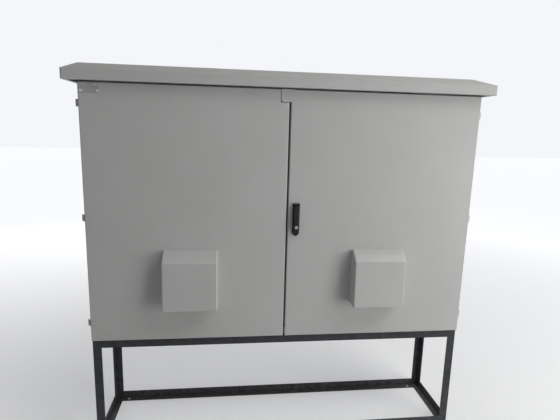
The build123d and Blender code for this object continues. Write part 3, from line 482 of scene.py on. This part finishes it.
fasteners = [
    # name, head, radius, seats, finish slot, body
    ("frameHingeScrews", "pan", hinges["radius"],
     hingeSeats(-1, hinges["frameRow"]) + hingeSeats(1, hinges["frameRow"]), "zinc_steel", "cabinet"),
    ("leftHingeScrews", "pan", hinges["radius"], hingeSeats(-1, hinges["doorRow"]),
     "zinc_steel", "left_door"),
    ("rightHingeScrews", "pan", hinges["radius"], hingeSeats(1, hinges["doorRow"]),
     "zinc_steel", "right_door"),
    ("glandPlateScrews", "pan", 0.0055,
     [((x, y, glandPlate["under"]), downwards) for x in glandPlate["across"] for y in glandPlate["deep"]],
     "zinc_steel", "cabinet"),
    ("fanScrews", "pan", 0.0042,
     fourSeats(leftHood.x, filterUnits["fanBack"], fan.z, filterUnits["fanPitch"], filterUnits["fanPitch"]),
     "zinc_steel", "left_door"),
    ("retainerScrews", "pan", 0.0036,
     fourSeats(rightHood.x, filterUnits["retainerBack"], fan.z,
               filterUnits["retainerPitch"], filterUnits["retainerPitch"]), "zinc_steel", "right_door"),
    ("gearboxScrews", "pan", 0.0034, fourSeats(spindle.x, lockCase["back"], spindle.z, *lockCase["pitch"]),
     "zinc_steel", "right_door"),
    ("handleScrews", "pan", 0.0052,
     [((spindle.x, handleBase["back"], spindle.z - drop), inwards) for drop in handleBase["drops"]],
     "zinc_steel", "right_door"),
    ("bracketRivets", "dome", 0.0040,
     fourSeats(lockBracket.x, lockCase["bracketBack"], spindle.z, *lockCase["bracketPitch"]),
     "zinc_steel", "right_door"),
    ("boltRivets", "dome", 0.0034,
     [((x, shootBolts["back"], z), inwards) for x in shootBolts["columns"] for z in shootBolts["levels"]],
     "zinc_steel", "left_door"),
    ("plateRivets", "eyelet", 0.0062,
     [((x, plateEyelets["front"], plateEyelets["level"]), outwards) for x in plateEyelets["columns"]],
     "zinc_steel", "left_door"),
]
for seed, (name, head, radius, seats, slot, body) in enumerate(fasteners):
    # eyelets take the metal darkened as painted shade
    finish = paintedShadeEyelet if head == "eyelet" else finishes[slot]
    runTree(name, headTree, seatMesh(name + "Seats", seats),
            {"Head": heads[head], "Head Radius": radius, "Spin Seed": seed}, finish, body)
print("fastener rows:", len(fasteners))


# Weld beads in the stand's corners

weld = {"radius": 0.0022, "pitch": 0.0026, "sizes": (0.85, 1.15), "seed": 4, "outer": 0.925, "depth": 0.185,
        "leg": 0.040, "wall": 0.004, "endGap": 0.006, "tuck": 0.003, "levels": (0.0, 0.512),
        "shelves": (0.004, 0.548)}


def makeBeadTree():
    tree = bpy.data.node_groups.new("weldBeads", "GeometryNodeTree")
    face = tree.interface
    face.new_socket("Seams", in_out="INPUT", socket_type="NodeSocketGeometry")
    face.new_socket("Bead Radius", in_out="INPUT", socket_type="NodeSocketFloat")
    face.new_socket("Ripple Pitch", in_out="INPUT", socket_type="NodeSocketFloat")
    face.new_socket("Size Seed", in_out="INPUT", socket_type="NodeSocketInt")
    face.new_socket("Finish", in_out="INPUT", socket_type="NodeSocketMaterial")
    face.new_socket("Beads", in_out="OUTPUT", socket_type="NodeSocketGeometry")
    given = addNode(tree, "NodeGroupInput").outputs
    lines = addNode(tree, "GeometryNodeMeshToCurve", {"Mesh": given["Seams"]})
    stepped = addNode(tree, "GeometryNodeResampleCurve",
                      {"Curve": lines.outputs["Curve"], "Length": given["Ripple Pitch"]}, mode="LENGTH")
    bead = addNode(tree, "GeometryNodeMeshUVSphere",
                   {"Segments": 8, "Rings": 5, "Radius": given["Bead Radius"]})
    size = addNode(tree, "FunctionNodeRandomValue", {"Seed": given["Size Seed"]}, data_type="FLOAT")
    size.inputs[2].default_value, size.inputs[3].default_value = weld["sizes"]
    spread = addNode(tree, "GeometryNodeInstanceOnPoints",
                     {"Points": stepped.outputs["Curve"], "Instance": bead.outputs["Mesh"],
                      "Scale": size.outputs[1]})
    solid = addNode(tree, "GeometryNodeRealizeInstances", {"Geometry": spread.outputs["Instances"]})
    painted = addNode(tree, "GeometryNodeSetMaterial",
                      {"Geometry": solid.outputs["Geometry"], "Material": given["Finish"]})
    addNode(tree, "NodeGroupOutput", {"Beads": painted.outputs["Geometry"]})
    return tree


def standSeams():
    points, edges = [], []

    def seam(a, b):
        edges.append((len(points), len(points) + 1))
        points.extend((a, b))

    x, y, wall, leg = weld["outer"], weld["depth"], weld["wall"], weld["leg"]
    for sx in (-1, 1):
        for sy in (-1, 1):
            legX, legY = sx * (x - leg), sy * (y - leg)
            wallX, wallY = sx * (x - wall), sy * (y - wall)
            for level, shelf in zip(weld["levels"], weld["shelves"]):
                z0, z1 = level + weld["endGap"], level + leg - weld["endGap"]
                seam((legX, wallY, z0), (legX, wallY, z1))
                seam((wallX, legY, z0), (wallX, legY, z1))
                seam((wallX, sy * (y - 2 * wall), shelf), (wallX, sy * (y - leg + weld["tuck"]), shelf))
                seam((sx * (x - wall - weld["tuck"]), legY, shelf), (legX, legY, shelf))
    mesh = bpy.data.meshes.new("standSeams")
    mesh.from_pydata(points, edges, [])
    return bpy.data.objects.new("standSeams", mesh)


runTree("standWelds", makeBeadTree(), standSeams(),
        {"Bead Radius": weld["radius"], "Ripple Pitch": weld["pitch"], "Size Seed": weld["seed"]},
        finishes["stand_paint"], "cabinet", smooth=60.0)
print("stand welds done")


# Bare rating plate on the left door

barePlate = {"left": -0.9190, "right": -0.8340, "low": 1.7070, "high": 1.7485, "face": -0.200,
             "thick": 0.0008, "round": 0.0025, "cornerSteps": 4, "bevel": 0.0003, "rim": 0.0022,
             "fieldProud": 0.0004, "fieldBevel": 0.0006,
             "fields": ((-0.9155, -0.8940, 1.7415, 1.7462), (-0.8620, -0.8375, 1.7415, 1.7462))}


def makeBarePlate(plate):
    shape = bmesh.new()
    x0, x1, z0, z1, r = plate["left"], plate["right"], plate["low"], plate["high"], plate["round"]
    outline = []
    corners = ((x1 - r, z1 - r, 0), (x0 + r, z1 - r, 90), (x0 + r, z0 + r, 180), (x1 - r, z0 + r, 270))
    for cx, cz, start in corners:
        for step in range(plate["cornerSteps"] + 1):
            a = math.radians(start + 90.0 * step / plate["cornerSteps"])
            outline.append((cx + r * math.cos(a), cz + r * math.sin(a)))

    def ring(depth, inset):
        mx, mz = (x0 + x1) / 2, (z0 + z1) / 2
        sx, sz = 1 - 2 * inset / (x1 - x0), 1 - 2 * inset / (z1 - z0)
        return [(mx + (x - mx) * sx, plate["face"] - depth, mz + (z - mz) * sz) for x, z in outline]

    t, b, rim = plate["thick"], plate["bevel"], plate["rim"]
    sweptRings(shape, [ring(0.0, 0.0), ring(t - b, 0.0), ring(t, b), ring(t, rim), ring(t - b, rim + b)])
    addPiece("barePlate", shape, brushedPlate, "left_door", smooth=30.0)


def makeBareFields(plate):
    shape = bmesh.new()
    front = plate["face"] - plate["thick"]
    for left, right, low, high in plate["fields"]:
        def ring(y, inset):
            return [(left + inset, y, low + inset), (right - inset, y, low + inset),
                    (right - inset, y, high - inset), (left + inset, y, high - inset)]
        sweptRings(shape, [ring(front + plate["bevel"], 0.0), ring(front, 0.0),
                           ring(front - plate["fieldProud"], plate["fieldBevel"])])
    addPiece("bareFields", shape, paleField, "left_door", smooth=30.0)


makeBarePlate(barePlate)
makeBareFields(barePlate)
print("bare plate done")


# Folded rain hoods

hood = {"face": -0.200, "top": 1.005, "height": 0.273, "width": 0.254, "browDepth": 0.072, "browDrop": 0.047,
        "browBulge": 0.0060, "browSteps": 14, "footDepth": 0.082, "edge": 0.007, "crease": 0.0028,
        "sheet": 0.0016, "lip": 0.007}
gentleFold, sharpFold = 0.3, 1.0  # radians between two faces
sameLevel = 1e-5


def browPoints(sizes):
    across, down, bulge, steps = sizes["browDepth"], sizes["browDrop"], sizes["browBulge"], sizes["browSteps"]
    chord = math.hypot(across, down)
    radius = (chord * chord / 4 + bulge * bulge) / (2 * bulge)
    half = math.asin(chord / 2 / radius)
    lean = math.atan2(down, across)
    points = []
    for i in range(steps + 1):
        a = -half + 2 * half * i / steps
        along, proud = chord / 2 + radius * math.sin(a), radius * math.cos(a) - radius + bulge
        points.append((along * math.cos(lean) + proud * math.sin(lean),
                       -along * math.sin(lean) + proud * math.cos(lean)))
    return points


def makeHood(name, x, node, body):
    shape = bmesh.new()
    side = browPoints(hood) + [(hood["footDepth"], -hood["height"])]
    foot = hood["top"] - hood["height"]
    walls = []
    for way in (-1, 1):
        outline = [shape.verts.new((x + way * hood["width"] / 2, hood["face"] - depth, hood["top"] + rise))
                   for depth, rise in side]
        corner = shape.verts.new((x + way * hood["width"] / 2, hood["face"], foot))
        shape.faces.new(outline + [corner])
        walls.append(outline)
    for i in range(len(side) - 1):
        shape.faces.new((walls[0][i], walls[0][i + 1], walls[1][i + 1], walls[1][i]))
    bmesh.ops.recalc_face_normals(shape, faces=shape.faces)
    crease = [edge for edge in shape.edges
              if len(edge.link_faces) == 2 and gentleFold < edge.calc_face_angle() < sharpFold]
    bmesh.ops.bevel(shape, geom=crease, offset=hood["crease"], segments=3, profile=0.5, affect="EDGES")
    folds = [edge for edge in shape.edges if len(edge.link_faces) == 2 and edge.calc_face_angle() > sharpFold]
    bmesh.ops.bevel(shape, geom=folds, offset=hood["edge"], segments=4, profile=0.5, affect="EDGES")
    rim = [edge for edge in shape.edges if len(edge.link_faces) == 1
           and all(abs(v.co.z - foot) < sameLevel for v in edge.verts)]
    lip = bmesh.ops.extrude_edge_only(shape, edges=rim)["geom"]
    for vert in (v for v in lip if isinstance(v, bmesh.types.BMVert)):
        vert.co.x = x + (vert.co.x - x) * (1 - 2 * hood["lip"] / hood["width"])
        vert.co.y = hood["face"] + (vert.co.y - hood["face"]) * (1 - hood["lip"] / hood["footDepth"])
    piece = addPiece(name, shape, finishes["cabinet_paint"], body, smooth=32.0)
    wall = piece.modifiers.new("sheet", "SOLIDIFY")
    wall.thickness = hood["sheet"]
    wall.offset = -1.0
    wall.use_even_offset = True
    even = piece.modifiers.new("even", "WEIGHTED_NORMAL")
    even.keep_sharp = True
    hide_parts(node)


makeHood("leftRainHood", leftHood.x, "left_hood", "left_door")
makeHood("rightRainHood", rightHood.x, "right_hood", "right_door")
print("rain hoods done")


# Key ring on the lever

lockCentre = middleOf("lock_cylinder")
keyRing = {"place": (lockCentre.x, -0.2265, lockCentre.z), "bore": 0.0062, "edge": 0.0078, "lift": 0.0009,
           "sunk": 0.0006, "outerRound": 0.0004, "innerRound": 0.0003, "steps": 40}


def makeKeyRing(ringSize):
    shape = bmesh.new()
    x, y, z = ringSize["place"]
    bore, edge, lift, sunk = ringSize["bore"], ringSize["edge"], ringSize["lift"], ringSize["sunk"]
    profile = [(edge, sunk), (edge, -lift * 0.5), (edge - ringSize["outerRound"], -lift),
               (bore + ringSize["innerRound"], -lift), (bore, -lift * 0.7), (bore, sunk)]
    rings = []
    for step in range(ringSize["steps"] + 1):
        a = 2 * math.pi * step / ringSize["steps"]
        rings.append([(x + r * math.cos(a), y + d, z + r * math.sin(a)) for r, d in profile])
    sweptRings(shape, rings, caps=False)
    bmesh.ops.remove_doubles(shape, verts=shape.verts, dist=tiny)
    addPiece("keyRing", shape, finishes["lock_chrome"], "handle_lever", smooth=40.0)


makeKeyRing(keyRing)
print("key ring done")


# Foam strips and the meeting seal

foam = {
    "width": 0.0118, "height": 0.0134, "seat": -0.1981, "corner": 0.012, "cornerSteps": 6, "pitch": 0.010,
    "sectionSteps": 12, "square": (0.7, 0.6), "ripple": 0.018, "rippleRates": (0.71, 0.23),
    "top": 1.717, "foot": 0.593, "side": 0.884, "middle": 0.0105, "boltCorner": 0.0520,
}


def pathWithCorners(points, radius, steps, pitch):
    path = []
    for i, point in enumerate(points):
        point = Vector(point)
        if 0 < i < len(points) - 1:
            before = (Vector(points[i - 1]) - point).normalized()
            after = (Vector(points[i + 1]) - point).normalized()
            centre = point + (before + after) * radius
            for step in range(steps + 1):
                a = math.radians(90.0 * step / steps)
                path.append(centre - after * radius * math.cos(a) - before * radius * math.sin(a))
        else:
            path.append(point)
    dense = [path[0]]
    for a, b in zip(path, path[1:]):
        count = max(1, int((b - a).length / pitch))
        dense += [a + (b - a) * (k + 1) / count for k in range(count)]
    return dense


def makeFoamStrip(name, points, node, body):
    shape = bmesh.new()
    path = pathWithCorners(points, foam["corner"], foam["cornerSteps"], foam["pitch"])
    half, tall = foam["width"] / 2, foam["height"]
    squareAcross, squareUp = foam["square"]
    fast, slow = foam["rippleRates"]
    rings = []
    for i, place in enumerate(path):
        along = (path[min(i + 1, len(path) - 1)] - path[max(i - 1, 0)]).normalized()
        across = Vector((-along.y, along.x))
        wave = 1.0 - foam["ripple"] * (1 + math.sin(i * fast) * math.sin(i * slow))
        ring = []
        for step in range(foam["sectionSteps"] + 1):
            a = math.pi * step / foam["sectionSteps"]
            side = half * math.copysign(abs(math.cos(a)) ** squareAcross, math.cos(a))
            lift = tall * wave * math.sin(a) ** squareUp
            spot = place + across * side
            ring.append((spot.x, foam["seat"] + lift, spot.y))
        rings.append(ring)
    sweptRings(shape, rings)
    piece = addPiece(name, shape, finishes["foam_rubber"], body, smooth=50.0)
    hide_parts(node)


foamTop, foamFoot, foamSide = foam["top"], foam["foot"], foam["side"]
makeFoamStrip("leftFoamStrip", [(-foam["boltCorner"], foamTop), (-foamSide, foamTop), (-foamSide, foamFoot),
                                (-foam["middle"], foamFoot)], "left_door_gasket", "left_door")
makeFoamStrip("rightFoamStrip", [(foam["middle"], foamTop), (foamSide, foamTop), (foamSide, foamFoot),
                                 (foam["middle"], foamFoot)], "right_door_gasket", "right_door")

bulb = {
    "low": 0.5965, "high": 1.6895, "left": -0.0040, "right": 0.0037, "front": -0.1905, "back": -0.1785,
    "wall": 0.0014, "endRound": 0.0004, "steps": 28, "gluedSide": 0.42, "meetingSide": 0.8, "across": 0.75,
}


def makeMeetingSeal(seal):
    shape = bmesh.new()
    cx, cy = (seal["left"] + seal["right"]) / 2, (seal["front"] + seal["back"]) / 2
    rx, ry = (seal["right"] - seal["left"]) / 2, (seal["back"] - seal["front"]) / 2

    def section(inset, z):
        ring = []
        for step in range(seal["steps"]):
            a = 2 * math.pi * step / seal["steps"]
            c, s = math.cos(a), math.sin(a)
            power = seal["gluedSide"] if c < 0 else seal["meetingSide"]  # flat where it is glued, else round
            ring.append((cx + (rx - inset) * math.copysign(abs(c) ** power, c),
                         cy + (ry - inset) * math.copysign(abs(s) ** seal["across"], s), z))
        return ring

    low, high, wall, rounded = seal["low"], seal["high"], seal["wall"], seal["endRound"]
    rings = [section(wall, low), section(rounded / 2, low), section(0.0, low + rounded),
             section(0.0, high - rounded), section(rounded / 2, high), section(wall, high),
             section(wall, low)]  # back to the first ring, down the bore
    sweptRings(shape, rings, caps=False)
    bmesh.ops.remove_doubles(shape, verts=shape.verts, dist=tiny)
    piece = addPiece("meetingSeal", shape, finishes["seal_rubber"], "left_door", smooth=45.0)
    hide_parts("meeting_seal")


makeMeetingSeal(bulb)
print("foam strips and seal done")


# Filter mats

mat = {
    "half": 0.0857, "front": -0.188, "back": -0.178, "height": 0.855, "across": 0.455, "cells": 44,
    "fluff": 0.0009, "thinnest": 0.00005, "tufts": (1.9, 2.3), "folds": (0.7, 1.1),
    "edgePinch": (0.0018, 0.0006),
}


def makeFilterMat(name, x, node, body):
    shape = bmesh.new()
    n = mat["cells"]

    def fluff(i, k, side):
        tufts = math.sin(i * mat["tufts"][0] + side) * math.sin(k * mat["tufts"][1] - side)
        ruffle = tufts + 0.5 * math.sin(i * mat["folds"][0] + k * mat["folds"][1])
        edge = min(i, k, n - i, n - k)
        return mat["fluff"] * (0.55 + 0.3 * ruffle) + (mat["edgePinch"][edge] if edge < 2 else 0.0)

    sides = []
    for side, face, way in ((0, mat["front"], 1), (3, mat["back"], -1)):
        grid = {}
        for i in range(n + 1):
            for k in range(n + 1):
                px = x - mat["half"] + 2 * mat["half"] * i / n
                pz = mat["height"] - mat["half"] + 2 * mat["half"] * k / n
                inset = max(fluff(i, k, side), mat["thinnest"])
                grid[i, k] = shape.verts.new((px, face + way * inset, pz))
        for i in range(n):
            for k in range(n):
                shape.faces.new((grid[i, k], grid[i + 1, k], grid[i + 1, k + 1], grid[i, k + 1]))
        sides.append(grid)
    rim = [(i, 0) for i in range(n)] + [(n, k) for k in range(n)]
    rim += [(i, n) for i in range(n, 0, -1)] + [(0, k) for k in range(n, 0, -1)]
    for a, b in zip(rim, rim[1:] + rim[:1]):
        shape.faces.new((sides[0][a], sides[0][b], sides[1][b], sides[1][a]))
    piece = addPiece(name, shape, finishes["filter_fleece"], body, smooth=60.0)
    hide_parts(node)


makeFilterMat("leftFilterFleece", -mat["across"], "left_filter_mat", "left_door")
makeFilterMat("rightFilterFleece", mat["across"], "right_filter_mat", "right_door")
print("filter mats done")


# Floor and surroundings

studio = {
    "floor": (0.74, 0.74, 0.73), "air": (0.96, 0.97, 1.0, 1.0), "size": 60.0, "light": 0.090, "shown": 0.95,
    "near": 1.2, "far": 5.5, "nearGlow": 0.34, "farGlow": 0.86,
}


def seenRays(tree):
    ray = addNode(tree, "ShaderNodeLightPath").outputs
    seen = ray["Is Camera Ray"]
    for kind in ("Is Glossy Ray", "Is Transmission Ray"):
        seen = addNode(tree, "ShaderNodeMath", {0: seen, 1: ray[kind]}, operation="MAXIMUM").outputs[0]
    return seen


def makeStudio(values):
    shape = bmesh.new()
    half = values["size"] / 2
    corners = ((-half, -half), (half, -half), (half, half), (-half, half))
    shape.faces.new([shape.verts.new((x, y, 0.0)) for x, y in corners])
    mesh = bpy.data.meshes.new("studioFloor")
    shape.to_mesh(mesh)
    shape.free()
    floor = bpy.data.objects.new("studioFloor", mesh)
    bpy.context.scene.collection.objects.link(floor)
    material, tree, shader, place = newMaterial("paleFloor")
    grain = noise(tree, place, 30.0, 6.0)
    reach = addNode(tree, "ShaderNodeVectorMath", {0: place}, operation="LENGTH").outputs["Value"]
    glow = span(tree, reach, values["near"], values["far"], values["nearGlow"], values["farGlow"])
    worn = tuple(c * 0.95 for c in values["floor"])
    feed(tree, shader, Base_Color=blended(tree, grain, values["floor"], worn), Roughness=0.85,
         Emission_Color=values["air"], Emission_Strength=times(tree, seenRays(tree), glow))
    mesh.materials.append(material)
    world = bpy.data.worlds.new("studioWorld")
    bpy.context.scene.world = world
    world.use_nodes = True
    sky = world.node_tree
    back = sky.nodes["Background"]
    back.inputs["Color"].default_value = values["air"]
    strength = span(sky, seenRays(sky), 0.0, 1.0, values["light"], values["shown"])
    sky.links.new(strength, back.inputs["Strength"])


makeStudio(studio)
print("studio done")
